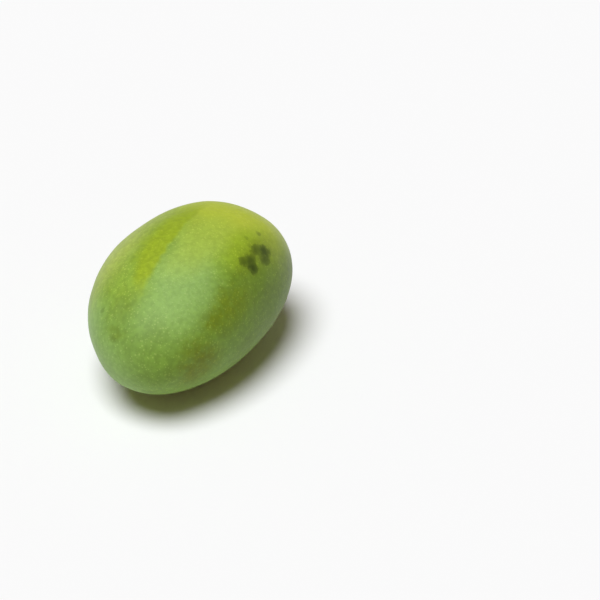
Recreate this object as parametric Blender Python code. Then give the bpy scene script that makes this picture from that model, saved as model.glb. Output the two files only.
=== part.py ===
"""A whole green mango with its cut stem stub, lying on one cheek.

The fruit is one solid, and the short woody stub of its stem is another, rooted in a socket in the stem basin.
Metres, +Z up. The long axis runs along X, with the stem at +X, the wide way along Y and the thin way up.
The origin is the middle of the small flat spot that the fruit rests on.
"""

import math

import bpy
import numpy as np
from mathutils import Euler, Matrix, Vector

# Driving dimensions of the fruit, before its gentle swellings and dips are added.
LENGTH = 0.1252
WIDTH = 0.0840
THICKNESS = 0.0716
BACK_BOW = 0.0054  # how far the middle of the fruit bows towards its back, +Y
STEM_END_TAPER = 0.06  # share by which the fruit is fuller at the stem end than at its middle
END_BLUNTNESS = 0.91  # 1 gives the ends of an ellipsoid, and less makes them blunter

# Swellings and dips of the skin: direction from the centre, height over the plain form, spread in degrees.
SWELLINGS = {
    "stem_basin": ((1.00, -0.05, 0.03), -0.0026, 8.5),
    "back_shoulder": ((0.74, 0.62, 0.12), 0.0007, 22.0),
    "belly_sinus": ((-0.72, -0.66, -0.15), -0.0012, 17.0),
    "beak": ((-0.93, -0.34, 0.00), 0.0008, 15.0),
    "crown": ((0.64, 0.32, 0.70), 0.00063, 15.0),
    "back_brow": ((-0.22, 0.90, 0.37), 0.00026, 16.0),
    "back_dip": ((0.22, 0.77, 0.59), -0.00046, 14.0),
    "stem_end_dip": ((0.83, -0.10, 0.55), -0.00034, 12.0),
    "apex_flat": ((-0.80, 0.56, -0.20), -0.00041, 12.0),
    "apex_heel": ((-0.89, 0.18, -0.42), 0.00042, 11.0),
}
STEM_AT = SWELLINGS["stem_basin"][0]
BASIN_RIM = math.radians(6.0)  # how far round the stem the skin sets the stem's tilt

# How the fruit lies once it has rolled to rest on its cheek.
ROLL_AT_REST = math.radians(4.95)
PITCH_AT_REST = math.radians(-1.75)
PRESSED_IN = 0.0004  # depth of the flat spot that the weight presses into the cheek

# The stem stub: a cut stalk on a wider corky collar, above a root.
STALK_RADIUS = 0.0026
STALK_HEIGHT = 0.0048
COLLAR_RADIUS = 0.0055
COLLAR_LOBES = ((3, 0.035, 40.0), (5, 0.045, 0.0))  # count, depth as a share of the radius, turn in degrees
COLLAR_CLEARANCE = 0.0007  # under the collar, where the skin rises round it as a shallow dish
ROOT_RADIUS = 0.0023
ROOT_DEPTH = 0.0050
GAP = 0.00032  # clearance between the stub and the fruit

# Fineness of the faceted solids.
RINGS = 46
SIDES = 68
STEM_SIDES = 40
SOCKET_SIDES = 32


def skin_points(directions):
    """Points of the skin for unit directions, an array of shape (n, 3), in the fruit's own axes."""
    along = directions[:, 0]
    out = np.maximum(np.hypot(directions[:, 1], directions[:, 2]), 1e-4)
    fullness = out ** (END_BLUNTNESS - 1) * (1 + STEM_END_TAPER * along)
    x = LENGTH / 2 * along
    y = WIDTH / 2 * fullness * directions[:, 1] + BACK_BOW * out**2
    z = THICKNESS / 2 * fullness * directions[:, 2]
    outward = directions / np.array([LENGTH, WIDTH, THICKNESS])
    outward /= np.linalg.norm(outward, axis=1)[:, None]
    height = np.zeros(len(directions))
    for centre, rise, spread in SWELLINGS.values():
        nearness = directions @ np.array(Vector(centre).normalized())
        height += rise * np.exp(2 * (nearness - 1) / math.radians(spread) ** 2)
    return np.stack([x, y, z], axis=1) + height[:, None] * outward


def ring_directions():
    """Unit directions in rings round the stem's direction: first pole, the rings, last pole."""
    turn = Vector((1, 0, 0)).rotation_difference(Vector(STEM_AT).normalized()).to_matrix()
    local = [Vector((1, 0, 0))]
    for ring in range(1, RINGS):
        polar = math.pi * ring / RINGS
        for side in range(SIDES):
            around = 2 * math.pi * side / SIDES
            local.append(
                Vector(
                    (
                        math.cos(polar),
                        math.sin(polar) * math.cos(around),
                        math.sin(polar) * math.sin(around),
                    )
                )
            )
    local.append(Vector((-1, 0, 0)))
    return np.array([turn @ direction for direction in local])


def closed_rings(rings, sides):
    """Faces of a closed body of rings with a point at each end, numbered first end, rings in order, last end."""
    last = rings * sides + 1
    faces = []
    for side in range(sides):
        beside = (side + 1) % sides
        faces.append((0, 1 + side, 1 + beside))
        for ring in range(rings - 1):
            here, below = 1 + ring * sides, 1 + (ring + 1) * sides
            faces.append((here + side, below + side, below + beside, here + beside))
        base = 1 + (rings - 1) * sides
        faces.append((last, base + beside, base + side))
    return faces


def weight_centre(points, faces):
    """Middle of the volume inside a closed mesh."""
    volume, moment = 0.0, np.zeros(3)
    for face in faces:
        for second, third in zip(face[1:-1], face[2:]):
            corners = points[[face[0], second, third]]
            part = np.dot(corners[0], np.cross(corners[1], corners[2])) / 6
            volume += part
            moment += part * corners.sum(axis=0) / 4
    return moment / volume


def principled(name, colour, roughness):
    """A material with one Principled BSDF."""
    material = bpy.data.materials.new(name)
    material.use_nodes = True
    shader = material.node_tree.nodes["Principled BSDF"]
    shader.inputs["Base Color"].default_value = (*colour, 1.0)
    shader.inputs["Roughness"].default_value = roughness
    shader.inputs["Metallic"].default_value = 0.0
    material.diffuse_color = (*colour, 1.0)
    return material


def add_object(name, points, faces, material=None):
    """A smooth-shaded mesh object made of these points and faces."""
    mesh = bpy.data.meshes.new(name)
    mesh.from_pydata([tuple(point) for point in points], [], faces)
    mesh.shade_smooth()
    mesh.set_sharp_from_angle(angle=math.radians(40))
    if material:
        mesh.materials.append(material)
    thing = bpy.data.objects.new(name, mesh)
    bpy.context.scene.collection.objects.link(thing)
    return thing


def hide_cutter(cutter):
    """Marks an object as one that only cuts others."""
    cutter.hide_render = True
    cutter.display_type = "WIRE"


def cut(body, cutter):
    """Takes the cutter's shape out of the body."""
    boolean = body.modifiers.new(cutter.name, "BOOLEAN")
    boolean.operation = "DIFFERENCE"
    boolean.solver = "EXACT"
    boolean.object = cutter


def turned(profile, sides, lobes=()):
    """Points and faces of a profile of (radius, height) turned about Z, with lobes where it is a wide collar."""
    points = [(0.0, 0.0, profile[0][1])]
    for radius, height in profile[1:-1]:
        collar_share = max(0.0, (radius - STALK_RADIUS) / (COLLAR_RADIUS - STALK_RADIUS))
        for side in range(sides):
            around = 2 * math.pi * side / sides
            wave = sum(depth * math.cos(count * (around - math.radians(turn))) for count, depth, turn in lobes)
            reach = radius * (1 + collar_share * wave)
            points.append((reach * math.cos(around), reach * math.sin(around), height))
    points.append((0.0, 0.0, profile[-1][1]))
    return np.array(points), closed_rings(len(profile) - 2, sides)


def stem_frame():
    """Place and turn of the stem: its foot on the floor of the basin, and its Z square to the skin round it."""
    towards = Vector(STEM_AT).normalized()
    foot = Vector(skin_points(np.array([towards]))[0])
    turn = Vector((0, 0, 1)).rotation_difference(towards)
    ring = []
    for side in range(STEM_SIDES):
        around = 2 * math.pi * side / STEM_SIDES
        out = math.sin(BASIN_RIM)
        ring.append(turn @ Vector((out * math.cos(around), out * math.sin(around), math.cos(BASIN_RIM))))
    rim = skin_points(np.array(ring))
    outward = Vector(np.cross(rim, np.roll(rim, -1, axis=0)).sum(axis=0))
    return Matrix.Translation(foot) @ outward.to_track_quat("Z", "Y").to_matrix().to_4x4()


def make_resting_frame(points, faces):
    """An empty that holds the fruit's own axes as it lies: its weight centre stands over the origin."""
    turn = Euler((ROLL_AT_REST, PITCH_AT_REST, 0.0), "XYZ").to_matrix()
    centre = turn @ Vector(weight_centre(points, faces))
    lowest = (points @ np.array(turn).T)[:, 2].min()
    empty = bpy.data.objects.new("mango", None)
    bpy.context.scene.collection.objects.link(empty)
    empty.rotation_euler = turn.to_euler()
    empty.location = (-centre.x, -centre.y, -lowest - PRESSED_IN)
    return empty


def make_fruit():
    """The fruit's skin as one closed body in its own axes, with the empty that it lies by."""
    points = skin_points(ring_directions())
    faces = closed_rings(RINGS - 1, SIDES)
    resting = make_resting_frame(points, faces)
    fruit = add_object("fruit", points, faces, principled("mango skin", (0.21, 0.33, 0.055), 0.42))
    fruit.parent = resting
    return fruit, resting


def make_ground_cutter():
    """A block whose top is the ground, which trims the flat spot."""
    half, depth = LENGTH / 4, 0.01
    corners = [(x, y, z) for z in (-depth, 0.0) for x, y in ((-half, -half), (half, -half), (half, half), (-half, half))]
    faces = [(3, 2, 1, 0), (4, 5, 6, 7), (0, 1, 5, 4), (1, 2, 6, 5), (2, 3, 7, 6), (3, 0, 4, 7)]
    cutter = add_object("ground_cutter", corners, faces)
    hide_cutter(cutter)
    return cutter


def make_socket_cutter(resting):
    """A plain round hole for the stem's root, with its clearance."""
    radius = ROOT_RADIUS + GAP
    bottom, top = -(ROOT_DEPTH + GAP), ROOT_DEPTH
    points, faces = turned([(0.0, top), (radius, top), (radius, bottom), (0.0, bottom)], SOCKET_SIDES)
    cutter = add_object("socket_cutter", points, faces)
    cutter.parent = resting
    cutter.matrix_local = stem_frame()
    hide_cutter(cutter)
    return cutter


def stem_profile():
    """Radius and height of the stub from the cut top down to the root's tip, over the floor of the basin."""
    return [
        (0.0, STALK_HEIGHT - 0.0002),
        (0.75 * STALK_RADIUS, STALK_HEIGHT),
        (0.94 * STALK_RADIUS, STALK_HEIGHT - 0.0001),
        (STALK_RADIUS, STALK_HEIGHT - 0.0004),
        (1.06 * STALK_RADIUS, 0.80 * STALK_HEIGHT),
        (1.28 * STALK_RADIUS, 0.66 * STALK_HEIGHT),
        (0.80 * COLLAR_RADIUS, 0.56 * STALK_HEIGHT),
        (0.94 * COLLAR_RADIUS, 0.46 * STALK_HEIGHT),
        (COLLAR_RADIUS, 0.36 * STALK_HEIGHT),
        (0.95 * COLLAR_RADIUS, 0.0008 + COLLAR_CLEARANCE),
        (0.80 * COLLAR_RADIUS, 0.0004 + COLLAR_CLEARANCE),
        (0.62 * COLLAR_RADIUS, 0.0001 + COLLAR_CLEARANCE),
        (ROOT_RADIUS, COLLAR_CLEARANCE),
        (ROOT_RADIUS, -0.8 * ROOT_DEPTH),
        (0.7 * ROOT_RADIUS, -ROOT_DEPTH),
        (0.0, -ROOT_DEPTH),
    ]


def make_stem(resting):
    """The stub of the stem, rooted in the socket."""
    points, faces = turned(stem_profile(), STEM_SIDES, COLLAR_LOBES)
    stem = add_object("stem", points, faces, principled("stem bark", (0.060, 0.045, 0.012), 0.8))
    stem.parent = resting
    stem.matrix_local = stem_frame()
    return stem


def main():
    for thing in list(bpy.data.objects):
        bpy.data.objects.remove(thing)
    fruit, resting = make_fruit()
    cut(fruit, make_ground_cutter())
    cut(fruit, make_socket_cutter(resting))
    make_stem(resting)


main()
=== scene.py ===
# %% [markdown]
# A green mango, lying on one cheek
#
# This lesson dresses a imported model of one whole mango: its waxy green skin and the dark stub of its stem.
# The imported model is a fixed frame. It sets every size and place, and each piece that is made here stands
# where a plain solid of the frame stands. Sizes are in metres, +Z is up, the stem points along +X, and the
# origin is the middle of the flat spot that the fruit rests on.

# %% Load the fixed frame
import math

import bpy
from mathutils import Euler, Matrix, Vector, noise


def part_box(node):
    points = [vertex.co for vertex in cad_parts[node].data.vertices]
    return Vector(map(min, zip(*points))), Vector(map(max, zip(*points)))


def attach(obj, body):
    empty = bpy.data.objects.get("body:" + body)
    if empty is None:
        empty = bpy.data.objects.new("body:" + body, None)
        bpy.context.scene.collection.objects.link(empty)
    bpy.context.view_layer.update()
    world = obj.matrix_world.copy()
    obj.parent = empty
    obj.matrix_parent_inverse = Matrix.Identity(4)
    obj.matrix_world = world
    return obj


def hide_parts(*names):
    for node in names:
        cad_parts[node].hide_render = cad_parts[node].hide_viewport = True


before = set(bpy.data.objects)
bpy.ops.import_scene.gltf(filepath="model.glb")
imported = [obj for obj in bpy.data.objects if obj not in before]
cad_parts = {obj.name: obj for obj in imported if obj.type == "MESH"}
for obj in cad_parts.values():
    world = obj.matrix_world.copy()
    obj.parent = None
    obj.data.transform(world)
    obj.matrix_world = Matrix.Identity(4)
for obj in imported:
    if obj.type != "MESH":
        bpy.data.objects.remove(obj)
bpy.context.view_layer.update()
fruit_low, fruit_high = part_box("fruit")
print("fruit, millimetres:", [round(1000 * side, 1) for side in fruit_high - fruit_low])

# %% [markdown]
# The camera
#
# A long lens far away keeps a fruit's outline true, where a short one close by would swell its near end.
# The camera stands off to the side of the tip and looks down on the fruit. In the photograph the fruit lies
# left of the middle of the picture, so the camera aims at a point beside the fruit, not at its centre.

# %% Place the camera
CAMERA_AZIMUTH = math.radians(-63)
CAMERA_ELEVATION = math.radians(33)
CAMERA_DISTANCE = 0.795  # metres from the point that it aims at
LENS_MM = 100
SENSOR_MM = 36
WEIGHT_CENTRE = Vector((0, 0, 0.03541))  # the fruit's own, straight above the origin
AIM_RIGHT_OF_FRUIT = 0.05276  # metres along the picture's width
AIM_BELOW_FRUIT = 0.00253  # metres along the picture's height


def add_to_scene(name, data):
    """A new object for a mesh, a camera or a light, linked to the scene."""
    thing = bpy.data.objects.new(name, data)
    bpy.context.scene.collection.objects.link(thing)
    return thing


def camera_axes():
    """Unit vectors from the aim back to the camera, to the camera's right, and up its picture."""
    aside = math.sin(CAMERA_AZIMUTH)
    ahead = math.cos(CAMERA_AZIMUTH)
    level = math.cos(CAMERA_ELEVATION)
    back = Vector((aside * level, -ahead * level, math.sin(CAMERA_ELEVATION)))
    right = Vector((ahead, aside, 0))
    return back, right, back.cross(right)


def make_camera():
    """The scene's camera, aimed beside the fruit."""
    back, right, up = camera_axes()
    aim = WEIGHT_CENTRE + AIM_RIGHT_OF_FRUIT * right - AIM_BELOW_FRUIT * up
    camera = add_to_scene("camera", bpy.data.cameras.new("camera"))
    camera.data.lens = LENS_MM
    camera.data.sensor_width = SENSOR_MM
    camera.data.dof.use_dof = False
    camera.location = aim + CAMERA_DISTANCE * back
    camera.rotation_euler = back.to_track_quat("Z", "Y").to_euler()
    bpy.context.scene.camera = camera
    return camera


camera = make_camera()
print("camera stands at", [round(x, 3) for x in camera.location])

# %% [markdown]
# Formulas written as nodes
#
# A shape or a colour that follows a formula takes dozens of Math nodes, which are hard to read when they are
# made one by one. Number wraps a socket, so that +, -, * and / on it add the nodes that compute the result.
# Math nodes are the same in Geometry Nodes and in a material, so one small class serves both.


# %% Numbers that flow through a node tree
class Number:
    """A number in a node tree. Arithmetic on it adds Math nodes to its tree."""

    def __init__(self, tree, socket):
        self.tree = tree
        self.socket = socket

    def math(self, operation, *others):
        """The result of a Math node on this number and the others."""
        node = self.tree.nodes.new("ShaderNodeMath")
        node.operation = operation
        for socket, value in zip(node.inputs, (self, *others)):
            feed(self.tree, socket, value)
        return Number(self.tree, node.outputs[0])

    def __add__(self, other):
        return self.math("ADD", other)

    def __sub__(self, other):
        return self.math("SUBTRACT", other)

    def __mul__(self, other):
        return self.math("MULTIPLY", other)

    def __truediv__(self, other):
        return self.math("DIVIDE", other)

    def __rsub__(self, other):
        return (self * -1) + other

    __radd__ = __add__
    __rmul__ = __mul__

    def ramp(self, start, end, low=0.0, high=1.0):
        """A smooth change from low at start to high at end."""
        node = self.tree.nodes.new("ShaderNodeMapRange")
        node.interpolation_type = "SMOOTHSTEP"
        names = ("Value", "From Min", "From Max", "To Min", "To Max")
        for name, value in zip(names, (self, start, end, low, high)):
            feed(self.tree, node.inputs[name], value)
        return Number(self.tree, node.outputs["Result"])


def feed(tree, socket, value):
    """Links a number or a socket to this socket, or sets a plain value on it."""
    if isinstance(value, Number):
        tree.links.new(value.socket, socket)
    elif isinstance(value, bpy.types.NodeSocket):
        tree.links.new(value, socket)
    else:
        socket.default_value = value


print("arithmetic on a Number now adds Math nodes")


# %% Vectors that flow through a node tree
def vector_math(tree, operation, *vectors, scale=None):
    """The socket that holds the result of a Vector Math node."""
    node = tree.nodes.new("ShaderNodeVectorMath")
    node.operation = operation
    for socket, value in zip(node.inputs, vectors):
        feed(tree, socket, value)
    if scale is not None:
        feed(tree, node.inputs["Scale"], scale)
    return node.outputs["Value" if operation in ("DOT_PRODUCT", "LENGTH") else "Vector"]


def dot(tree, first, second):
    """The dot product of two vectors, as a number."""
    return Number(tree, vector_math(tree, "DOT_PRODUCT", first, second))


def split(tree, vector):
    """The three numbers of a vector."""
    node = tree.nodes.new("ShaderNodeSeparateXYZ")
    tree.links.new(vector, node.inputs[0])
    return [Number(tree, socket) for socket in node.outputs]


def join(tree, *numbers):
    """The vector made of three numbers."""
    node = tree.nodes.new("ShaderNodeCombineXYZ")
    for socket, value in zip(node.inputs, numbers):
        feed(tree, socket, value)
    return node.outputs[0]


print("vectors can be split into Numbers and joined from them")

# %% [markdown]
# The form of the fruit
#
# A mango is an egg that is flattened from cheek to cheek, fuller at the stem, bowed towards its back, and
# blunt at both ends. Gentle swellings and dips make it a particular fruit: the basin round the stem, a high
# shoulder, and a slight hollow beside the beak at the tip. It could be sculpted, but a form that follows a
# rule is cleaner as a formula: a cube's grid is drawn out to a sphere, and each direction from the centre
# gets its point on the skin. A cube's grid has no pole, so no pinched fan of faces shows at either end.

# %% Sizes of the fruit's form
FORM = {  # metres, and for the last two a share and a power
    "Length": 0.1252,
    "Width": 0.0840,
    "Thickness": 0.0716,
    "Back Bow": 0.0054,
    "Stem End Taper": 0.06,
    "End Bluntness": 0.91,
}
SWELLINGS = {  # direction from the centre, height over the plain form, spread in degrees
    "stem basin": ((1.00, -0.05, 0.03), -0.0026, 8.5),
    "back shoulder": ((0.74, 0.62, 0.12), 0.0007, 22.0),
    "belly sinus": ((-0.72, -0.66, -0.15), -0.0012, 17.0),
    "beak": ((-0.93, -0.34, 0.00), 0.0008, 15.0),
    "crown": ((0.64, 0.32, 0.70), 0.00063, 15.0),
    "back brow": ((-0.22, 0.90, 0.37), 0.00026, 16.0),
    "back dip": ((0.22, 0.77, 0.59), -0.00046, 14.0),
    "stem end dip": ((0.83, -0.10, 0.55), -0.00034, 12.0),
    "apex flat": ((-0.80, 0.56, -0.20), -0.00041, 12.0),
    "apex heel": ((-0.89, 0.18, -0.42), 0.00042, 11.0),
}
ROLL_AT_REST = math.radians(4.95)
PITCH_AT_REST = math.radians(-1.75)
GRID_POINTS = 118  # along each edge of the cube
SMALLEST_OUT = 1e-4  # keeps the bluntness finite at the very ends
print("the form has", len(FORM), "sizes and", len(SWELLINGS), "swellings and dips")


# %% Nodes for the plain form and its swellings
def new_shape_tree(name, sizes):
    """A Geometry Nodes tree that gives out geometry, and its named inputs for the sizes as Numbers."""
    tree = bpy.data.node_groups.new(name, "GeometryNodeTree")
    tree.interface.new_socket("Geometry", in_out="OUTPUT", socket_type="NodeSocketGeometry")
    for size_name, size in sizes.items():
        socket = tree.interface.new_socket(size_name, in_out="INPUT", socket_type="NodeSocketFloat")
        socket.default_value = size
    group_input = tree.nodes.new("NodeGroupInput")
    return tree, {size_name: Number(tree, group_input.outputs[size_name]) for size_name in sizes}


def plain_form(tree, size, direction):
    """The point of the plain form in a direction from the centre."""
    along, back, up = split(tree, direction)
    out = (back * back + up * up).math("SQRT").math("MAXIMUM", SMALLEST_OUT)
    fullness = out.math("POWER", size["End Bluntness"] - 1) * (size["Stem End Taper"] * along + 1)
    x = size["Length"] / 2 * along
    y = size["Width"] / 2 * fullness * back + size["Back Bow"] * out * out
    z = size["Thickness"] / 2 * fullness * up
    return join(tree, x, y, z)


def swelling_height(tree, direction):
    """How far the swellings and dips lift the skin in a direction from the centre."""
    height = 0.0
    for centre, rise, spread in SWELLINGS.values():
        nearness = dot(tree, direction, tuple(Vector(centre).normalized()))
        bell = ((nearness - 1) * (2 / math.radians(spread) ** 2)).math("EXPONENT")
        height = bell * rise + height
    return height


print("the basin round the stem is", -1000 * SWELLINGS["stem basin"][1], "millimetres deep")

# %% [markdown]
# Relief of the skin
#
# Close up, the skin isn't as smooth as a formula. It has slow, shallow undulations as wide as a fingertip,
# and a faint grain. The undulations are real geometry, so that they bend the highlights and stay in the
# mesh. They only cut inwards, which keeps the fruit inside the size that the frame gives. The grain is finer
# than the mesh and is left to the material's bump.

# %% Nodes for relief
RELIEF = {  # metres, with the height and the soft rim of the spot that the fruit rests on
    "Undulation Depth": 0.00022,
    "Ripple Depth": 0.00004,
    "Flat Spot Height": 0.0,
    "Flat Spot Softness": 0.0002,
}
UNDULATIONS_PER_METRE = 55.0
RIPPLES_PER_METRE = 210.0


def set_position(tree, geometry, **inputs):
    """Geometry after a Set Position node with these inputs."""
    node = tree.nodes.new("GeometryNodeSetPosition")
    tree.links.new(geometry, node.inputs["Geometry"])
    for name, value in inputs.items():
        feed(tree, node.inputs[name.capitalize()], value)
    return node.outputs["Geometry"]


def noise_at(tree, place, scale, detail=2.0, stretch=None, roughness=0.5):
    """The Noise Texture node of a place, with features about 1 / scale metres wide."""
    if stretch:
        place = vector_math(tree, "MULTIPLY", place, stretch)
    node = tree.nodes.new("ShaderNodeTexNoise")
    tree.links.new(place, node.inputs["Vector"])
    node.inputs["Scale"].default_value = scale
    node.inputs["Detail"].default_value = detail
    node.inputs["Roughness"].default_value = roughness
    return node


def noise_number(tree, place, scale, **how):
    """Noise from 0 to 1 with a middle of about a half."""
    node = noise_at(tree, place, scale, **how)
    return Number(tree, node.outputs[0])


def relief_offset(tree, size):
    """How far inwards the undulations move each point, as a vector along the skin's normal."""
    position = tree.nodes.new("GeometryNodeInputPosition").outputs[0]
    normal = tree.nodes.new("GeometryNodeInputNormal").outputs[0]
    slow = noise_number(tree, position, UNDULATIONS_PER_METRE, detail=1.0).ramp(0.25, 0.75)
    quick = noise_number(tree, position, RIPPLES_PER_METRE, detail=1.0).ramp(0.25, 0.75)
    depth = slow * size["Undulation Depth"] + quick * size["Ripple Depth"]
    return vector_math(tree, "SCALE", normal, scale=depth * -1)


print("the undulations are up to", 1000 * RELIEF["Undulation Depth"], "millimetres deep")


# %% Build the fruit's tree
def build_fruit_tree():
    """The fruit as Geometry Nodes, from a cube's grid to the rough skin, centred and not yet turned."""
    tree, size = new_shape_tree("mango form", {**FORM, **RELIEF})
    cube = tree.nodes.new("GeometryNodeMeshCube")
    for axis in "XYZ":
        cube.inputs["Vertices " + axis].default_value = GRID_POINTS
    corner = tree.nodes.new("GeometryNodeInputPosition").outputs[0]
    direction = vector_math(tree, "NORMALIZE", corner)
    proportions = join(tree, size["Length"], size["Width"], size["Thickness"])
    outward = vector_math(tree, "NORMALIZE", vector_math(tree, "DIVIDE", direction, proportions))
    lift = vector_math(tree, "SCALE", outward, scale=swelling_height(tree, direction))
    plain = plain_form(tree, size, direction)
    skin = set_position(tree, cube.outputs["Mesh"], position=plain, offset=lift)
    smooth = tree.nodes.new("GeometryNodeSetShadeSmooth")
    tree.links.new(skin, smooth.inputs["Geometry"])
    rough = set_position(tree, smooth.outputs[0], offset=relief_offset(tree, size))
    return tree, size, rough


def lay_down(tree, size, geometry, place):
    """Geometry turned the way the fruit lies, moved to its place and pressed flat on the ground."""
    turn = tree.nodes.new("GeometryNodeTransform")
    tree.links.new(geometry, turn.inputs["Geometry"])
    turn.inputs["Rotation"].default_value = (ROLL_AT_REST, PITCH_AT_REST, 0.0)
    turn.inputs["Translation"].default_value = place
    position = tree.nodes.new("GeometryNodeInputPosition").outputs[0]
    x, y, z = split(tree, position)
    above = z.math("SMOOTH_MAX", size["Flat Spot Height"], size["Flat Spot Softness"])
    return set_position(tree, turn.outputs["Geometry"], position=join(tree, x, y, above))


def close_tree(tree, geometry, material):
    """Ends the tree in Realize Instances and Set Material."""
    realize = tree.nodes.new("GeometryNodeRealizeInstances")
    paint = tree.nodes.new("GeometryNodeSetMaterial")
    paint.inputs["Material"].default_value = material
    output = tree.nodes.new("NodeGroupOutput")
    tree.links.new(geometry, realize.inputs[0])
    tree.links.new(realize.outputs[0], paint.inputs["Geometry"])
    tree.links.new(paint.outputs[0], output.inputs[0])


print("the cube's grid has", GRID_POINTS, "points along each edge")

# %% [markdown]
# From nodes to a plain mesh
#
# A Geometry Nodes modifier could stay on the fruit and make its mesh anew whenever something changes. A
# finished piece is safer as a plain mesh, which can be measured and exported without its tree. So a helper
# object carries the modifier, its evaluated mesh is copied, and the helper is thrown away. The modifier
# keeps its inputs under each socket's identifier, so that is how the sizes are set.


# %% Make a plain mesh from a tree
def plain_mesh(name, tree, sizes):
    """A mesh object made of what the tree gives for these sizes, with no modifier left on it."""
    maker = add_to_scene(name + " maker", bpy.data.meshes.new(name + " maker"))
    modifier = maker.modifiers.new("shape", "NODES")
    modifier.node_group = tree
    for socket in tree.interface.items_tree:
        if socket.in_out == "INPUT":
            modifier[socket.identifier] = sizes[socket.name]
    evaluated = maker.evaluated_get(bpy.context.evaluated_depsgraph_get())
    mesh = bpy.data.meshes.new_from_object(evaluated)
    bpy.data.objects.remove(maker)
    mesh.name = name
    return add_to_scene(name, mesh)


def mesh_box(mesh):
    """Lowest and highest corner of a mesh."""
    corners = [vertex.co for vertex in mesh.vertices]
    low = Vector([min(co[axis] for co in corners) for axis in range(3)])
    high = Vector([max(co[axis] for co in corners) for axis in range(3)])
    return low, high


print("trees can now be turned into plain meshes")

# %% [markdown]
# Where the fruit goes
#
# The formula is centred on the fruit's own middle, but the frame's origin is under its weight. The plain
# solid in the frame tells where the skin has to be: the new skin's box is centred on the solid's box, and
# its top comes a hair under the solid's top.

# %% Find the place from the frame
BELOW_SOLID_TOP = RELIEF["Undulation Depth"] / 4


def place_from_frame():
    """Where the middle of the formula goes, from the box of the plain solid."""
    tree, _, skin = build_fruit_tree()
    turn = tree.nodes.new("GeometryNodeTransform")
    turn.inputs["Rotation"].default_value = (ROLL_AT_REST, PITCH_AT_REST, 0.0)
    tree.links.new(skin, turn.inputs["Geometry"])
    close_tree(tree, turn.outputs["Geometry"], None)
    trial = plain_mesh("trial", tree, {**FORM, **RELIEF})
    low, high = mesh_box(trial.data)
    bpy.data.objects.remove(trial)
    middle = (fruit_low + fruit_high) / 2 - (low + high) / 2
    return Vector((middle.x, middle.y, fruit_high.z - high.z - BELOW_SOLID_TOP))


fruit_place = place_from_frame()
print("the middle of the form stands at", [round(1000 * x, 2) for x in fruit_place], "millimetres")

# %% [markdown]
# Painting skin in layers
#
# A mango's colour isn't one green. A pale wax, the bloom, lies over it in clouds. Where it was rubbed off in
# handling, a strip of clear yellow-green shows. The shoulder by the stem turns yellow first, the belly stays
# dark, and sap that ran down from the stem burns brown spots. The belly's side is darkened further with
# painted shade. A painter would lay these down one over another, and the material does the same: each layer
# is a colour and a mask that says where it lies. The masks read Object coordinates, so a mark stays on its
# place on the skin from any side.

# %% Tools for painting in layers
MM = 0.001


def new_material(name):
    """An empty node material, with its tree, its shader and the Object coordinates of its surface."""
    material = bpy.data.materials.new(name)
    material.use_nodes = True
    tree = material.node_tree
    shader = tree.nodes["Principled BSDF"]
    place = tree.nodes.new("ShaderNodeTexCoord").outputs["Object"]
    return material, tree, shader, place


def paint_over(tree, under, mask, colour):
    """The colour under a layer, with this colour laid over it where the mask is 1."""
    # A Mix node has sockets for every kind of value. Those for colours are inputs 6 and 7 and output 2.
    node = tree.nodes.new("ShaderNodeMix")
    node.data_type = "RGBA"
    feed(tree, node.inputs[0], mask)
    for socket, value in ((node.inputs[6], under), (node.inputs[7], colour)):
        feed(tree, socket, (*value, 1.0) if isinstance(value, tuple) else value)
    return node.outputs[2]


def wobble(tree, place, scale, reach):
    """The place, shaken by noise, so that the edges of what is drawn on it aren't straight or round."""
    cloud = noise_at(tree, place, scale, detail=3.0).outputs["Color"]
    shake = vector_math(tree, "SUBTRACT", cloud, (0.5, 0.5, 0.5))
    return vector_math(tree, "ADD", place, vector_math(tree, "SCALE", shake, scale=reach))


print("a millimetre is", MM, "metres")


# %% Tools for masks
def place_within(tree, place, middle, turn, size=(1, 1, 1)):
    """The place as measured from a middle, along turned axes and in units of a size."""
    node = tree.nodes.new("ShaderNodeMapping")
    node.vector_type = "TEXTURE"
    tree.links.new(place, node.inputs["Vector"])
    for name, value in (("Location", middle), ("Rotation", turn), ("Scale", size)):
        node.inputs[name].default_value = value
    return node.outputs[0]


def patch(tree, place, centre_mm, half_mm, turn=(0, 0, 0), softness=0.5):
    """A mask that is 1 inside an ellipsoid and fades to 0 round its surface."""
    angles = [math.radians(angle) for angle in turn]
    own = place_within(tree, place, Vector(centre_mm) * MM, angles, Vector(half_mm) * MM)
    reach = Number(tree, vector_math(tree, "LENGTH", own))
    return reach.ramp(1 + softness, 1 - softness)


def largest(masks, blend=0.0):
    """The strongest of these masks at each place, with their meetings rounded by blend."""
    result = masks[0]
    for mask in masks[1:]:
        result = result.math("SMOOTH_MAX", mask, blend)
    return result


def weighted_sum(masks, weights, base=0.0):
    """The masks that weights names, each times its weight, added up on top of base."""
    total = base
    for name, weight in weights.items():
        total = masks[name] * weight + total
    return total


print("masks can now be made, merged and weighed")

# %% [markdown]
# Strips where the bloom is rubbed off
#
# The clearest mark on this fruit is a long strip of fresh yellow-green. One edge is crisp, where a leaf or a
# finger pressed, and the other fades out. Seen from above, the crisp edge is a straight line along the
# fruit, so the mask measures how far each point lies to the side of a line, and how far along it. Fainter
# strips lie on the sides that the photograph doesn't show. Each is drawn as seen from its own side.

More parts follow.
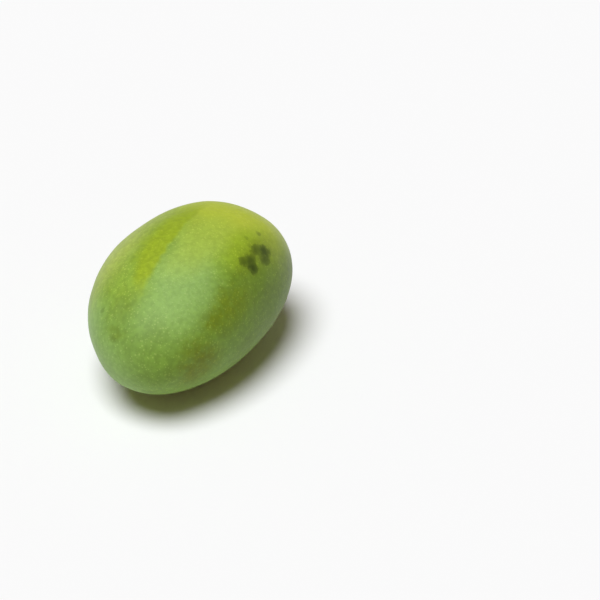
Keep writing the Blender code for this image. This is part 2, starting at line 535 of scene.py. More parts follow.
# %% The mask of a rubbed strip
RUBBED_STRIPS = (  # start, end, the side it is seen from, width in millimetres, strength
    ((20, 4.6, 70.6), (-45, -1.0, 61.0), (0, 0, 1), 19, 0.95),
    ((34, 37, 40), (-8, 44, 33), (0, 1, 0), 9, 0.55),
    ((-30, -20, 8), (24, -26, 6), (0, 0, -1), 10, 0.50),
    ((54, -8, 44), (46, -24, 36), (1, -0.4, 0), 6, 0.45),
)
CRISP_EDGE_MM = 1.3  # half the width over which the crisp edge rises
FADING_SHARE = 0.6  # of the strip's width, at its other edge
FACING_FADE = 8 * MM  # how far beyond the fruit's middle a strip fades in on its own side


def rubbed_strip(tree, place, start_mm, end_mm, seen_from, width_mm):
    """A mask of a spindle on one side of the fruit, crisp along its line and soft at its other edge."""
    start = Vector(start_mm)
    line = Vector(end_mm) - start
    seen_from = Vector(seen_from).normalized()
    from_start = vector_math(tree, "SUBTRACT", place, start * MM)
    # Down is 0 at the start of the line and 1 at its end. Across is in millimetres.
    down = dot(tree, from_start, line.normalized()) / line.length / MM
    across = dot(tree, from_start, line.cross(seen_from).normalized()) / MM
    from_middle = vector_math(tree, "SUBTRACT", place, WEIGHT_CENTRE)
    facing = dot(tree, from_middle, seen_from).ramp(0.0, FACING_FADE)
    spindle = down.ramp(-0.2, 0.45, 0.6, 1.0) * down.ramp(0.5, 1.05, 1.0, 0.35)
    soft_edge = (across / spindle).ramp(width_mm * (1 - FADING_SHARE), width_mm, 1.0, 0.0)
    ends = down.ramp(-0.3, 0.25) * down.ramp(0.80, 1.05, 1.0, 0.0)
    return across.ramp(-CRISP_EDGE_MM, CRISP_EDGE_MM) * soft_edge * ends * facing


print("there are", len(RUBBED_STRIPS), "rubbed strips")

# %% [markdown]
# Lenticels
#
# The skin breathes through lenticels, pale dots up to about a millimetre across with a corky middle. They
# could be thousands of tiny discs, but they stand hardly proud of the skin, so a texture serves them better.
# A Voronoi texture fills space with cells. Round each cell's middle lies a small ball, and the skin cuts
# the balls at all heights, which gives dots of all sizes, as on the real fruit. The place is shaken by noise
# before the texture reads it, so that no dot is quite round. One layer is fine and dense, and another is
# sparse with larger dots.

# %% The masks of the lenticels
LENTICEL_LAYERS = (  # cell and radius in millimetres, strength
    (1.45, 0.43, 0.95),
    (2.80, 0.60, 0.85),
)
LENTICEL_RAGGEDNESS = 0.55 * MM


def lenticels(tree, place):
    """Two masks of small dots strewn over the skin, of whole dots and of their corky middles."""
    ragged_place = wobble(tree, place, 1500.0, LENTICEL_RAGGEDNESS)
    dots, middles = [], []
    for cell_mm, radius_mm, strength in LENTICEL_LAYERS:
        node = tree.nodes.new("ShaderNodeTexVoronoi")
        tree.links.new(ragged_place, node.inputs["Vector"])
        node.inputs["Scale"].default_value = 1 / (cell_mm * MM)
        radius = radius_mm / cell_mm
        distance = Number(tree, node.outputs["Distance"])
        dots.append(distance.ramp(radius, 0.45 * radius) * strength)
        middles.append(distance.ramp(0.50 * radius, 0.10 * radius) * strength)
    return largest(dots), largest(middles)


print("lenticels lie in", len(LENTICEL_LAYERS), "layers")

# %% [markdown]
# The skin's colours
#
# Colours are linear values, as the shader takes them. The light in the room doubles or halves what a
# surface sends back, so each colour is the skin's own and not the colour seen on a picture.

# %% Colours of the skin
UNRIPE_GREEN = (0.185, 0.320, 0.034)
DEEP_GREEN = (0.145, 0.245, 0.018)
BLOOM_GREEN = (0.285, 0.455, 0.125)
# Lighter than the back's own yellow: the extra paleness is a painted sheen along the outline.
BACK_YELLOW_AND_RIM_SHEEN = (0.410, 0.495, 0.088)
RUBBED_GREEN = (0.285, 0.385, 0.017)
SHOULDER_YELLOW = (0.468, 0.546, 0.040)
# Partly the belly's own darker green, partly painted shade that darkens that side.
BELLY_GREEN_AND_SHADE = (0.115, 0.180, 0.008)
MISTY_GREEN = (0.205, 0.330, 0.085)
OLIVE = (0.148, 0.196, 0.003)
UNDERSIDE_YELLOW = (0.345, 0.350, 0.030)
SAP_BURN = (0.040, 0.064, 0.001)
HAZE_YELLOW = (0.350, 0.470, 0.058)
CLEAR_YELLOW_GREEN = (0.270, 0.395, 0.014)
LENTICEL_PALENESS = (1.50, 1.37, 1.70)
LENTICEL_CORK = (0.330, 0.300, 0.110)
print("the unripe green is", UNRIPE_GREEN)

# %% [markdown]
# Where the colours lie
#
# No two mangoes wear their colours alike. On this one the bloom is thickest towards the tip, the shoulder
# and the back turn yellow, and sap that ran down the belly's side has burnt spots there, with olive stains
# round them. The back's yellow is also lightened as a painted sheen along the outline, the belly's dark
# green holds painted shade, and two olive stains on the lower belly hold painted shade and painted yellow
# reflected light. Each of these places is an ellipsoid that the skin passes through, because an ellipsoid
# needs only a middle and three half sizes, and noise frays its edge later. An image painted by hand could do
# the same, but places in millimetres are easier to move and fit any mesh.

# %% Places of the bloom, the yellow and the darker green
BLOOM_CLOUDS = (  # centre and half sizes in millimetres, turn in degrees
    ((-28, -13.5, 60), (31, 14.5, 20), (0, 0, 12)),
    ((-8, 38, 30), (44, 10, 16), (0, 0, -8)),
    ((-58, 6, 27), (12, 18, 14), (0, 0, 0)),
    ((-50, 24, 40), (12, 12, 14), (0, 0, 0)),
)
SHOULDER = ((38, -5, 57), (38, 31, 26))
BACK = ((-6, 28, 56), (34, 14, 19))
PATCHES = (  # colour, centre and half sizes in millimetres, softness, strength
    (HAZE_YELLOW, (-4, -9, 69), (22, 11, 9), 0.7, 0.75),
    (HAZE_YELLOW, (-38, 10, 61), (20, 10, 9), 0.8, 0.32),
    (CLEAR_YELLOW_GREEN, (9, -24, 64), (21, 7, 8), 0.7, 0.70),
    (DEEP_GREEN, (-4, -35, 52), (18, 6, 9), 0.7, 0.60),
    (DEEP_GREEN, (-60, -17, 38), (11, 13, 12), 0.7, 0.62),
    (MISTY_GREEN, (-58, 6, 43), (14, 24, 17), 0.7, 0.45),
    # The belly patch is partly the belly's darker green and partly painted shade on that side.
    (BELLY_GREEN_AND_SHADE, (18, -42, 38), (46, 18, 22), 0.7, 0.75),
    (UNDERSIDE_YELLOW, (-2, -3, 1), (44, 28, 15), 0.6, 0.90),
)
print(len(BLOOM_CLOUDS), "clouds of bloom and", len(PATCHES), "patches of other greens and yellows")

# %% Places of the olive stains, some with painted shade and reflected light, and the sap burns
OLIVE_STAINS_AND_BOUNCE = (  # centre and half sizes in millimetres, softness, strength
    ((12, -30, 59), (20, 6, 7), 0.6, 0.50),
    ((-52, 5, 55), (6, 6, 6), 0.7, 0.22),
    ((-58.8, 3.8, 47.6), (4, 5, 4), 0.8, 0.40),
    # This stain and the large one two lines down lie on the lower belly: partly olive skin, partly painted
    # shade and painted yellow reflected light.
    ((-21, -33, 51), (16, 6, 10), 0.7, 0.72),
    ((-31, -32, 49), (5, 3, 5), 0.4, 0.75),
    # Partly olive skin, partly painted shade and painted yellow reflected light on the lower belly.
    ((-45, -31, 32), (11, 10, 12), 0.7, 1.00),
    ((20, 42, 36), (12, 6, 8), 0.7, 0.50),
    ((56, 12, 24), (9, 9, 8), 0.7, 0.45),
    ((61, -3, 37), (7, 8, 8), 0.7, 0.50),
)
SAP_SPOTS = (  # centre, half sizes in millimetres, strength
    ((2.8, -28.6, 60.3), (3.2, 3.0, 3.0), 0.72),
    ((6.8, -30.0, 59.0), (4.0, 3.4, 3.2), 0.86),
    ((5.0, -32.2, 56.8), (3.4, 3.2, 3.4), 1.00),
    # The next three, the right-hand group, are real burns darkened a little further as painted shade.
    ((15.2, -28.4, 60.0), (4.6, 3.2, 2.6), 0.74),
    ((19.4, -30.6, 57.8), (4.6, 3.8, 4.4), 0.94),
    ((16.4, -32.6, 55.6), (4.4, 3.2, 3.2), 0.80),
    ((26.3, -23.9, 61.7), (2.0, 1.8, 1.6), 0.45),
    ((16.7, -22.5, 64.2), (1.4, 1.4, 1.2), 0.25),
    ((-60.3, 4.0, 45.0), (1.4, 1.9, 1.7), 0.30),
    ((-50.0, 15.7, 51.2), (1.2, 1.5, 1.8), 0.26),
    ((36.8, 30.6, 48.2), (3.6, 2.6, 1.7), 0.50),
    ((40.6, 29.4, 46.6), (1.7, 1.6, 1.5), 0.42),
    ((57.0, -9.0, 26.0), (2.4, 2.4, 3.4), 0.60),
)
print(len(OLIVE_STAINS_AND_BOUNCE), "olive stains and", len(SAP_SPOTS), "spots that sap has burnt")

# %% [markdown]
# Laying the colours over one another
#
# The layers go on much as the real marks came: first the green of the growing fruit and the bloom on it,
# then the yellow of ripening, the stains and the rubbed strips, and last the dots and the burns, which
# nothing covers. Among them lie painted shade on the belly, painted shade and painted yellow reflected light
# in the olive of the lower belly, and a painted sheen in the back's yellow. Noise of several sizes breaks
# them up. Masks that are needed again are kept in one dictionary, so that a later layer can give way to an
# earlier one: the dots are faint under thick bloom.

# %% Noise that the layers share, and the ground colour
CLOUD_STRENGTH = 0.86
FILM_STRENGTH = 0.45  # of the thin bloom between the clouds
SHOULDER_STRENGTH = 0.95
BACK_STRENGTH = 0.80


def skin_noises(tree, place):
    """Noise from broad to fine, which mottles the colours and frays the edges of the marks."""
    return {
        "cloudy": noise_number(tree, place, 42.0, detail=3.0, stretch=(0.7, 1.0, 1.0)),
        "lengthwise": noise_number(tree, place, 95.0, detail=3.0, stretch=(0.45, 1.0, 1.0)),
        "torn": noise_number(tree, place, 300.0, detail=4.0, roughness=0.6),
        "speckle": noise_number(tree, place, 420.0, detail=2.0),
        "peel": noise_number(tree, place, 620.0, detail=2.0),
        "grain": noise_number(tree, place, 900.0, detail=2.0),
    }


def ground_layers(tree, place, masks):
    """The greens and yellows of the skin, with the bloom in clouds and in a thin film between them."""
    colour = paint_over(tree, DEEP_GREEN, masks["lengthwise"].ramp(0.25, 0.62), UNRIPE_GREEN)
    clouds = [patch(tree, place, *cloud, softness=0.65) * CLOUD_STRENGTH for cloud in BLOOM_CLOUDS]
    film = masks["cloudy"].ramp(0.42, 0.75) * FILM_STRENGTH
    masks["bloom"] = largest([film, *clouds]) * masks["grain"].ramp(0.2, 0.7, 0.78, 1.0)
    colour = paint_over(tree, colour, masks["bloom"], BLOOM_GREEN)
    masks["shoulder"] = patch(tree, place, *SHOULDER)
    colour = paint_over(tree, colour, masks["shoulder"] * SHOULDER_STRENGTH, SHOULDER_YELLOW)
    # The back's yellow is partly its own colour and partly a painted sheen that lightens it along the
    # outline.
    masks["back"] = patch(tree, place, *BACK, softness=0.6)
    colour = paint_over(tree, colour, masks["back"] * BACK_STRENGTH, BACK_YELLOW_AND_RIM_SHEEN)
    for tint, centre, half, softness, strength in PATCHES:
        mask = patch(tree, place, centre, half, softness=softness)
        colour = paint_over(tree, colour, mask * strength, tint)
    return colour


print("where it is thickest, bloom covers", 100 * CLOUD_STRENGTH, "percent of the green")

# %% Stains, partly painted shade and reflected light, and rubbed strips
UNEVENNESS = 0.20  # how much the brightness varies from speckle to speckle
UNEVENNESS_LOST = {"shoulder": -0.12, "bloom": -0.07}


def stain_and_bounce_layer(tree, place, masks, colour):
    """The colour with its mottled olive stains, two of which are partly painted shade and painted yellow
    reflected light.
    """
    stains = []
    for centre, half, softness, strength in OLIVE_STAINS_AND_BOUNCE:
        stains.append(patch(tree, place, centre, half, softness=softness) * strength)
    mottled = largest(stains) * masks["torn"].ramp(0.30, 0.62, 0.45, 1.0)
    return paint_over(tree, colour, mottled, OLIVE)


def rubbed_layer(tree, place, masks, colour):
    """The colour with its rubbed strips, and with speckles that bloom and the shoulder make fainter."""
    wavy_place = wobble(tree, place, 170.0, 4.5 * MM)
    strips = [rubbed_strip(tree, wavy_place, *line) * strength for *line, strength in RUBBED_STRIPS]
    masks["rubbed"] = largest(strips)
    colour = paint_over(tree, colour, masks["rubbed"], RUBBED_GREEN)
    reach = weighted_sum(masks, UNEVENNESS_LOST, UNEVENNESS)
    unevenness = (masks["speckle"].ramp(0.3, 0.7) - 0.5) * reach + 1
    return vector_math(tree, "SCALE", colour, scale=unevenness)


print("bare skin varies in brightness by", 100 * UNEVENNESS, "percent")

# %% Dots and burns
LENTICELS_LOST = {"bloom": -0.90, "shoulder": -0.58, "rubbed": -0.42, "back": -0.45}
CORK_STRENGTH = 0.35
SPOT_BLEND = 0.3  # rounds the meetings of neighbouring burns


def lenticel_layer(tree, place, masks, colour):
    """The colour with its lenticels, which are paler than the skin round them."""
    masks["dots"], corky = lenticels(tree, place)
    paler = vector_math(tree, "MULTIPLY", colour, LENTICEL_PALENESS)
    shown = weighted_sum(masks, LENTICELS_LOST, masks["cloudy"].ramp(0.3, 0.7, 0.90, 1.15))
    colour = paint_over(tree, colour, masks["dots"] * shown, paler)
    return paint_over(tree, colour, corky * CORK_STRENGTH, LENTICEL_CORK)


def burn_layer(tree, place, masks, colour):
    """The colour with the spots that sap has burnt, dark and ragged at the edge."""
    torn_place = wobble(tree, place, 420.0, 2.6 * MM)
    spots, depths = [], []
    for centre, half, strength in SAP_SPOTS:
        spot = patch(tree, torn_place, centre, half, softness=0.90)
        spots.append(spot)
        depths.append(spot * strength)
    frayed = largest(spots, SPOT_BLEND) + (masks["torn"] - 0.5) * 0.7 + (masks["grain"] - 0.5) * 0.45
    depth = largest(depths, SPOT_BLEND)
    masks["burnt"] = frayed.ramp(0.38, 0.66) * depth * masks["speckle"].ramp(0.2, 0.5, 0.75, 1.0)
    return paint_over(tree, colour, masks["burnt"], SAP_BURN)


print("under full bloom the dots lose", -100 * LENTICELS_LOST["bloom"], "percent of their strength")


# %% All the layers
def skin_layers(tree, place):
    """The skin's colour, and the noises and masks that its gloss and relief read too."""
    masks = skin_noises(tree, place)
    soft_place = wobble(tree, place, 70.0, 9 * MM)
    colour = ground_layers(tree, soft_place, masks)
    colour = stain_and_bounce_layer(tree, soft_place, masks, colour)
    colour = rubbed_layer(tree, place, masks, colour)
    colour = lenticel_layer(tree, place, masks, colour)
    colour = burn_layer(tree, place, masks, colour)
    return colour, masks


print("the layers are ready to be painted")

# %% [markdown]
# Gloss and grain of the skin
#
# Wax scatters light, so a clouded place is duller than a rubbed one. Roughness therefore follows the same
# masks as the colour. The grain is a bump far finer than the mesh. A little sheen stands for the loose wax
# that catches light at the outline.

# %% Build the skin's material
SKIN_GLOSS = {
    "IOR": 1.42,
    "Specular IOR Level": 0.22,
    "Sheen Weight": 0.14,
    "Sheen Roughness": 0.45,
    "Sheen Tint": (0.90, 1.0, 0.90, 1.0),
}
BARE_ROUGHNESS = 0.44
ROUGHER = {"bloom": 0.14, "rubbed": -0.05, "grain": 0.08, "burnt": 0.10}
SKIN_HEIGHTS = {"peel": 0.70, "dots": 0.35, "grain": 0.25, "burnt": -0.50}
SKIN_BUMP = (0.25, 0.16 * MM)  # strength, and how high a height of 1 stands


def set_sockets(shader, values):
    """Plain values on the shader's own sockets."""
    for name, value in values.items():
        shader.inputs[name].default_value = value


def add_bump(tree, shader, height, strength, distance):
    """Fine relief for the shader, from a number for the height."""
    bump = tree.nodes.new("ShaderNodeBump")
    bump.inputs["Strength"].default_value = strength
    bump.inputs["Distance"].default_value = distance
    feed(tree, bump.inputs["Height"], height)
    tree.links.new(bump.outputs["Normal"], shader.inputs["Normal"])


def make_skin_material():
    """Waxy green mango skin."""
    material, tree, shader, place = new_material("mango skin")
    colour, masks = skin_layers(tree, place)
    tree.links.new(colour, shader.inputs["Base Color"])
    feed(tree, shader.inputs["Roughness"], weighted_sum(masks, ROUGHER, BARE_ROUGHNESS))
    set_sockets(shader, SKIN_GLOSS)
    add_bump(tree, shader, weighted_sum(masks, SKIN_HEIGHTS), *SKIN_BUMP)
    return material


skin_material = make_skin_material()
print("skin material:", len(skin_material.node_tree.nodes), "nodes")

# %% [markdown]
# The fruit itself
#
# Everything that the fruit needs is there now. Its tree is built once more, this time laid down in its place
# and pressed flat where it touches the ground, and the result is turned into a plain mesh. The skin closes
# over the foot of the stem, because on the real fruit the cork grows on from the skin with no gap.

# %% Make the fruit
tree, size, skin = build_fruit_tree()
close_tree(tree, lay_down(tree, size, skin, fruit_place), skin_material)
fruit = plain_mesh("fruit_skin", tree, {**FORM, **RELIEF})
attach(fruit, "root")
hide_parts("fruit")
low, high = mesh_box(fruit.data)
print("fruit:", len(fruit.data.polygons), "faces, box", [round(1000 * x, 2) for x in (*low, *high)])

# %% [markdown]
# The stub of the stem
#
# A mango is cut from the tree with a short stub, so that its burning sap stays in. The stub is a stalk of
# pale wood with a flat cut, and round its foot the skin has grown a dark corky collar, lumpy and cracked.
# The plain solid in the frame is turned about its own axis, so the axis is read from that solid. It runs
# from the middle of the root's end to the middle of the cut. Which points lie at those ends depends on the
# axis, so the first guess is along the fruit, and each trial starts from the axis that the last one found.
# The bands are wide enough to hold whole rings of points, also while the guess is a few degrees off.

# %% Sizes of the stub, and its place from the frame
ROOT_DEPTH = 0.0050
STALK_RADIUS = 0.0026
STALK_HEIGHT = 0.0046
COLLAR_RADIUS = 0.0055
AXIS_TRIALS = 3
ROOT_BAND = 0.0005
CUT_BAND = 0.00085


def end_middle(points, axis, band):
    """The middle of the points that lie furthest along an axis, within a band of it."""
    furthest = max(point.dot(axis) for point in points)
    end = [point for point in points if point.dot(axis) > furthest - band]
    return sum(end, Vector()) / len(end)


def stem_place():
    """The turn and the place of the stub: its foot on the basin's floor and its Z along its axis."""
    corners = {tuple(round(x, 6) for x in vertex.co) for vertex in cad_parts["stem"].data.vertices}
    points = [Vector(corner) for corner in sorted(corners)]
    axis = Vector((1, 0, 0))
    for _ in range(AXIS_TRIALS):
        root = end_middle(points, -axis, ROOT_BAND)
        axis = (end_middle(points, axis, CUT_BAND) - root).normalized()
    lie = Euler((ROLL_AT_REST, PITCH_AT_REST, 0.0)).to_matrix()
    turn = lie @ (lie.transposed() @ axis).to_track_quat("Z", "Y").to_matrix()
    return Matrix.Translation(root + axis * ROOT_DEPTH) @ turn.to_4x4()


stem_frame = stem_place()
print("the stub stands at", [round(1000 * x, 2) for x in stem_frame.translation], "millimetres")
print("its axis points along", [round(x, 4) for x in stem_frame.col[2]][:3])

# %% [markdown]
# Turning the stub and roughening it
#
# The stub starts as a turned profile, a few points that are joined in small steps. Then each point moves out
# or in by noise: little on the stalk, which is only a bit oval and cut at a slant, and a lot on the collar,
# where lobes, lumps and cracks run outwards. Sculpting could do this as well, but noise is quicker. It comes
# from the place alone, so that the stub is the same in each run.

# %% The stub's outline
STEM_SIDES = 144
STEM_RINGS_PER_STEP = 5


def stem_outline():
    """Radius and height of the stub from the middle of the cut down to the tip of the root."""
    corners = [
        (0.0, STALK_HEIGHT - 0.30 * MM),  # the cut has sunk in its middle
        (0.55 * STALK_RADIUS, STALK_HEIGHT - 0.20 * MM),
        (0.90 * STALK_RADIUS, STALK_HEIGHT - 0.05 * MM),
        (STALK_RADIUS, STALK_HEIGHT - 0.40 * MM),
        (1.10 * STALK_RADIUS, 0.75 * STALK_HEIGHT),
        (1.40 * STALK_RADIUS, 0.60 * STALK_HEIGHT),
        (0.84 * COLLAR_RADIUS, 0.50 * STALK_HEIGHT),
        (0.97 * COLLAR_RADIUS, 0.36 * STALK_HEIGHT),
        (0.98 * COLLAR_RADIUS, 0.24 * STALK_HEIGHT),
        (0.88 * COLLAR_RADIUS, 0.12 * STALK_HEIGHT),
        (0.50 * COLLAR_RADIUS, 0.0),
        (0.70 * STALK_RADIUS, -0.2 * ROOT_DEPTH),
        (0.60 * STALK_RADIUS, -0.9 * ROOT_DEPTH),
        (0.0, -0.95 * ROOT_DEPTH),
    ]
    outline = []
    for (r0, z0), (r1, z1) in zip(corners, corners[1:]):
        for step in range(STEM_RINGS_PER_STEP):
            share = step / STEM_RINGS_PER_STEP
            outline.append((r0 + (r1 - r0) * share, z0 + (z1 - z0) * share))
    return outline[1:], corners[0][1], corners[-1][1]


print("the stub is", 1000 * STALK_HEIGHT, "millimetres high, and its root goes", 1000 * ROOT_DEPTH, "deep")

# %% The stub's surface
STALK_OVAL = ((2, 0.050, 1.2), (3, 0.030, -1.0))  # waves round it, share of the radius, phase
COLLAR_LOBES = ((3, 0.050, math.radians(120)), (5, 0.045, 0.0))
COLLAR_LUMPS = ((1.9, 3, 0.120), (6.0, 2, 0.025))  # fineness, octaves, share of the radius
CRACK_FINENESS = 2.3
CRACK_WIDTH = 0.16
CRACK_DEPTH = 0.60
FIBRE_FINENESS = 9
FIBRE_HEIGHT = 0.025
COLLAR_LIFT = 0.45 * MM  # how far lumps rise along the stub's axis
CUT_SLANT = 0.10 * MM
CUT_SLANT_PHASE = 2.2


def collar_share(radius, height):
    """How much a place on the stub belongs to the collar, from 0 to 1."""
    stalk_ends = 1.15 * STALK_RADIUS
    wide = (radius - stalk_ends) / (0.80 * COLLAR_RADIUS - stalk_ends)
    return min(1.0, max(0.0, wide)) if height > -0.1 * MM else 0.0


def waves(around, rows):
    """The sum of these waves round the stub at an angle."""
    return sum(height * math.cos(count * around - phase) for count, height, phase in rows)


def stem_point(radius, height, around):
    """A point of the stub's rough surface."""
    share = collar_share(radius, height)
    spot = Vector((math.cos(around), math.sin(around), height / COLLAR_RADIUS * 1.5))
    lumps = sum(noise.fractal(spot * fine, 1.0, 2.0, octaves) * rise for fine, octaves, rise in COLLAR_LUMPS)
    crack_spot = Vector((spot.x * CRACK_FINENESS, spot.y * CRACK_FINENESS, 0.3))
    cracks = -max(0.0, CRACK_WIDTH - abs(noise.noise(crack_spot))) * CRACK_DEPTH
    fibre_spot = Vector((spot.x * FIBRE_FINENESS, spot.y * FIBRE_FINENESS, spot.z * 0.7))
    fibres = noise.noise(fibre_spot) * FIBRE_HEIGHT
    on_collar = waves(around, COLLAR_LOBES) + lumps + cracks
    on_stalk = waves(around, STALK_OVAL) + fibres
    out = radius * (1 + share * on_collar + (1 - share) * on_stalk)
    slant = (1 - share) * CUT_SLANT * math.cos(around - CUT_SLANT_PHASE) * radius / STALK_RADIUS
    lift = share * (noise.noise(spot * 4.1) + 0.5 * noise.noise(spot * 9.7)) * COLLAR_LIFT
    return Vector((out * math.cos(around), out * math.sin(around), height + lift + slant))


print("cracks cut in by up to", round(100 * CRACK_WIDTH * CRACK_DEPTH, 1), "percent of the radius")


# %% The stub's mesh
def make_stem_mesh():
    """The rough stub as one closed mesh, in the stem's own place."""
    outline, top, bottom = stem_outline()
    points = [Vector((0, 0, top))]
    for radius, height in outline:
        for side in range(STEM_SIDES):
            points.append(stem_point(radius, height, 2 * math.pi * side / STEM_SIDES))
    points.append(Vector((0, 0, bottom)))
    faces = []
    last = len(points) - 1
    for side in range(STEM_SIDES):
        beside = (side + 1) % STEM_SIDES
        faces.append((0, 1 + side, 1 + beside))
        for ring in range(len(outline) - 1):
            here, below = 1 + ring * STEM_SIDES, 1 + (ring + 1) * STEM_SIDES
            faces.append((here + side, below + side, below + beside, here + beside))
        base = last - STEM_SIDES
        faces.append((last, base + beside, base + side))
    mesh = bpy.data.meshes.new("stem_stub")
    mesh.from_pydata([tuple(stem_frame @ point) for point in points], [], faces)
    mesh.shade_smooth()
    return mesh


print("the stub will have", STEM_SIDES, "sides")

# %% [markdown]
# Bark and cut wood
#
# The bark is almost black in its cracks and red-brown in places, and grey on the raised tops of its lumps,
# which is a painted highlight. Towards the cut it turns olive. The cut has dried to olive and brown, paler
# under the bark and dark at the pith. Where the cut ends is known from the height and the distance from the
# axis, so a Mapping node first turns Object coordinates to the stub's own.

# %% Colours of the bark and the cut
BARK_DARK = (0.026, 0.022, 0.007)
# A painted highlight for the raised tops of the lumps.
BARK_GREY_HIGHLIGHT = (0.105, 0.088, 0.056)
BARK_RED = (0.120, 0.048, 0.022)
BARK_GREEN = (0.060, 0.075, 0.012)
STALK_OLIVE = (0.135, 0.115, 0.013)
CUT_WOOD = (0.225, 0.160, 0.018)
CUT_RING = (0.250, 0.225, 0.026)
CUT_STAIN = (0.140, 0.120, 0.010)
PITH_DARK = (0.090, 0.058, 0.012)
BARK_ROUGHNESS = 0.62
BARK_BUMP = (0.8, 0.3 * MM)
print("the darkest bark is", BARK_DARK)


# %% Build the stub's material
def cut_wood(tree, place, radius):
    """The colour of the dried cut, from its pith to its rim."""
    stains = noise_number(tree, place, 520.0, detail=3.0)
    fine = noise_number(tree, place, 2600.0, detail=3.0)
    shaken = radius + (stains - 0.5) * 0.5 * STALK_RADIUS
    wood = paint_over(tree, CUT_WOOD, shaken.ramp(0.6 * STALK_RADIUS, 0.9 * STALK_RADIUS), CUT_RING)
    wood = paint_over(tree, wood, stains.ramp(0.48, 0.66) * 0.75, CUT_STAIN)
    wood = paint_over(tree, wood, shaken.ramp(0.32 * STALK_RADIUS, 0.08 * STALK_RADIUS) * 0.8, PITH_DARK)
    return paint_over(tree, wood, fine.ramp(0.5, 0.75) * 0.6, PITH_DARK)


def bark_colour(tree, place, height, lumps):
    """The colour of the collar, and of the stalk that rises from it."""
    patches = noise_number(tree, place, 300.0, detail=3.0)
    # Grey on the raised tops of the lumps, which the bump lifts too, is a painted highlight.
    colour = paint_over(tree, BARK_DARK, lumps.ramp(0.46, 0.70) * 0.85, BARK_GREY_HIGHLIGHT)
    colour = paint_over(tree, colour, patches.ramp(0.56, 0.68) * 0.55, BARK_RED)
    colour = paint_over(tree, colour, patches.ramp(0.44, 0.34) * 0.75, BARK_GREEN)
    stalk = (height + (lumps - 0.5) * 2 * MM).ramp(0.60 * STALK_HEIGHT, 0.85 * STALK_HEIGHT)
    return paint_over(tree, colour, stalk * 0.85, STALK_OLIVE)


def height_and_radius(tree, place):
    """How far a place lies along the stub's axis, and how far from it."""
    own = place_within(tree, place, stem_frame.translation, stem_frame.to_euler())
    x, y, z = split(tree, own)
    return z, (x * x + y * y).math("SQRT")


def make_stem_material():
    """Dark corky bark with a dried cut."""
    material, tree, shader, place = new_material("stem bark")
    height, radius = height_and_radius(tree, place)
    lumps = noise_number(tree, place, 800.0, detail=5.0, roughness=0.6)
    fine = noise_number(tree, place, 3200.0, detail=3.0)
    near_top = height.ramp(STALK_HEIGHT - 0.6 * MM, STALK_HEIGHT - 0.4 * MM)
    cut = near_top * radius.ramp(1.10 * STALK_RADIUS, 1.02 * STALK_RADIUS)
    bark = bark_colour(tree, place, height, lumps)
    colour = paint_over(tree, bark, cut, cut_wood(tree, place, radius))
    tree.links.new(colour, shader.inputs["Base Color"])
    feed(tree, shader.inputs["Roughness"], lumps * 0.25 + BARK_ROUGHNESS)
    set_sockets(shader, {"Specular IOR Level": 0.35})
    add_bump(tree, shader, lumps * 0.8 + fine * 0.25, *BARK_BUMP)
    return material


bark_material = make_stem_material()
print("bark material:", len(bark_material.node_tree.nodes), "nodes")

# %% Make the stub
stem = add_to_scene("stem_stub", make_stem_mesh())
stem.data.materials.append(bark_material)
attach(stem, "root")
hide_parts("stem")
low, high = mesh_box(stem.data)
print("stub:", len(stem.data.polygons), "faces, box", [round(1000 * x, 2) for x in (*low, *high)])

# %% [markdown]
# A white studio
#
# The photograph was taken on white, under a wide soft light from overhead. One distant light with a wide
# angle gives an even floor and a shadow with soft edges. A dim world fills in the rest. It is a little warm,
# so that the shadow turns brownish, and the light overhead is a trace cool, so that the floor stays white.
# Where the camera sees the world itself, it is as bright as the floor, and no horizon shows. The floor isn't
# part of the fruit. It sends a lot of light back up under the fruit.

# %% The floor
FLOOR_SIDE = 12.0
DULL_WHITE = {"Base Color": (0.88, 0.88, 0.88, 1.0), "Roughness": 1.0, "Specular IOR Level": 0.0}


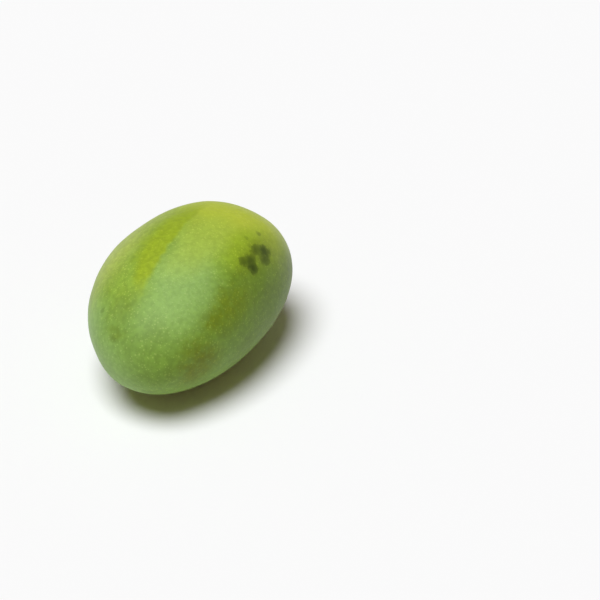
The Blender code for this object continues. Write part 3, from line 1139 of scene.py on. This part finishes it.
def make_floor():
    """A wide white floor at the height that the fruit rests on."""
    half = FLOOR_SIDE / 2
    corners = [(-half, -half, 0), (half, -half, 0), (half, half, 0), (-half, half, 0)]
    mesh = bpy.data.meshes.new("floor")
    mesh.from_pydata(corners, [], [(0, 1, 2, 3)])
    floor = add_to_scene("floor", mesh)
    material = bpy.data.materials.new("white floor")
    material.use_nodes = True
    set_sockets(material.node_tree.nodes["Principled BSDF"], DULL_WHITE)
    mesh.materials.append(material)


make_floor()
print("the floor is", FLOOR_SIDE, "metres wide")

# %% The lights
WORLD_STRENGTH = 0.12
WORLD_FILL = (1.22, 1.0, 0.66)
WORLD_SEEN = 0.96  # its brightness where the camera sees it
KEY_STRENGTH = 3.20
KEY_COLOUR = (0.975, 1.0, 1.045)
KEY_SPREAD = math.radians(35)
KEY_TOWARDS_LEFT = 0.18  # of how high it stands
KEY_TOWARDS_CAMERA = 0.27


def make_world():
    """A dim warm world for the lighting, which the camera sees as white as the floor."""
    world = bpy.data.worlds.new("white room")
    bpy.context.scene.world = world
    world.use_nodes = True
    tree = world.node_tree
    seen = Number(tree, tree.nodes.new("ShaderNodeLightPath").outputs["Is Camera Ray"])
    strength = seen * (WORLD_SEEN - WORLD_STRENGTH) + WORLD_STRENGTH
    background = tree.nodes["Background"]
    feed(tree, background.inputs["Strength"], strength)
    feed(tree, background.inputs["Color"], paint_over(tree, WORLD_FILL, seen, (1.0, 1.0, 1.0)))


def add_overhead_light():
    """A distant wide light overhead, which leans to the camera's left and towards the camera."""
    back, right, _ = camera_axes()
    level_back = Vector((back.x, back.y, 0)).normalized()
    lean = level_back * KEY_TOWARDS_CAMERA - right * KEY_TOWARDS_LEFT
    towards = (Vector((0, 0, 1)) + lean).normalized()
    lamp = bpy.data.lights.new("overhead light", "SUN")
    lamp.energy = KEY_STRENGTH
    lamp.color = KEY_COLOUR
    lamp.angle = KEY_SPREAD
    lamp_object = add_to_scene("overhead light", lamp)
    lamp_object.rotation_euler = towards.to_track_quat("Z", "Y").to_euler()
    return towards


make_world()
light_stands = add_overhead_light()
bpy.context.scene.view_settings.view_transform = "Standard"
print("the overhead light stands towards", [round(x, 2) for x in light_stands])
